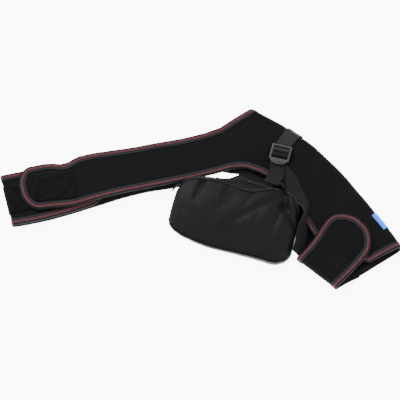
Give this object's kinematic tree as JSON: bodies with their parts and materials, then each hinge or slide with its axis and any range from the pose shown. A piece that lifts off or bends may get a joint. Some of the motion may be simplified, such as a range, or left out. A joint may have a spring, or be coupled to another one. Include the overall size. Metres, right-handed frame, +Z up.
{
  "type": "shoulder brace",
  "caption": "Black neoprene shoulder brace lying flat: folded sleeve, chest strap loop, arm strap, red stitched bindings, webbing buckle and zipped pouch.",
  "frame": {"origin": "middle of the bounding box's underside, on the table under the brace", "axes": "+X runs from the folded end of the chest loop to the arm end of the sleeve, +Y from the camera to the back of the table, +Z up from the table"},
  "size_m": [0.768, 0.3954, 0.0433],
  "materials": {
    "neoprene": "matte black loop-faced neoprene",
    "binding": "dark grey knitted binding tape",
    "stitch": "dark red thread",
    "pile": "black hook and loop pile",
    "webbing": "charcoal woven webbing",
    "nylon": "black woven nylon with a slight sheen",
    "zip_tape": "black zipper tape",
    "plastic": "dark grey moulded plastic",
    "label": "blue woven label, blank"
  },
  "bodies": {
    "root": {"shoulder_sleeve": "neoprene", "neck_binding": "binding", "sleeve_binding": "binding", "underarm_back_binding": "binding", "chest_strap_front": "neoprene", "chest_front_binding": "binding", "chest_strap_back": "neoprene", "chest_back_binding": "binding", "loop_patch": "pile", "tab_hook_patch": "pile", "tab_top_patch": "pile", "arm_strap": "neoprene", "arm_strap_binding": "binding", "arm_hook_patch": "pile", "side_label": "label", "ladder_lock_buckle": "plastic", "webbing_anchor": "webbing", "webbing_adjust": "webbing", "pouch_body": "nylon", "zipper_tape": "zip_tape", "pouch_piping_top": "nylon", "pouch_piping_bottom": "nylon", "zipper_slider": "plastic", "zipper_pull_right": "plastic", "zipper_pull_left": "plastic"}
  },
  "joints": []
}
